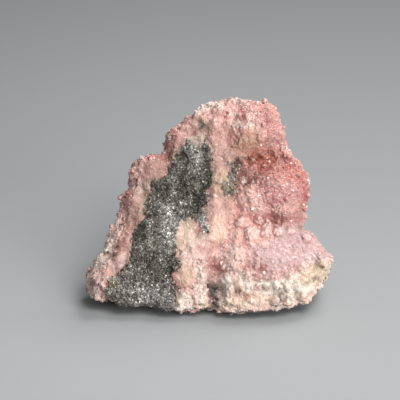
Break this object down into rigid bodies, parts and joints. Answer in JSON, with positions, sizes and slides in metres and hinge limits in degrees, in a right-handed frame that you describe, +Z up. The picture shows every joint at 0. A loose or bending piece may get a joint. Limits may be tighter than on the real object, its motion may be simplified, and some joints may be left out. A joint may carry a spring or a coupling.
{
  "type": "cobaltoan calcite specimen",
  "caption": "Hand specimen of cobaltoan calcite: a broken, leaning block of grey matrix and pale vein with a lumpy crust of pink crystals, resting on a flat underside.",
  "frame": {"origin": "point on the flat underside, below the middle of the specimen", "axes": "+X to the viewer's right along the specimen's length, +Y from the broken front to the back, +Z up"},
  "size_m": [0.0618, 0.0473, 0.0479],
  "materials": {
    "pink_calcite": "sparkling pink calcite druse on grey matrix, with a pale vein and a white broken crust"
  },
  "bodies": {
    "root": {"cobaltoan_calcite": "pink_calcite"}
  },
  "joints": []
}
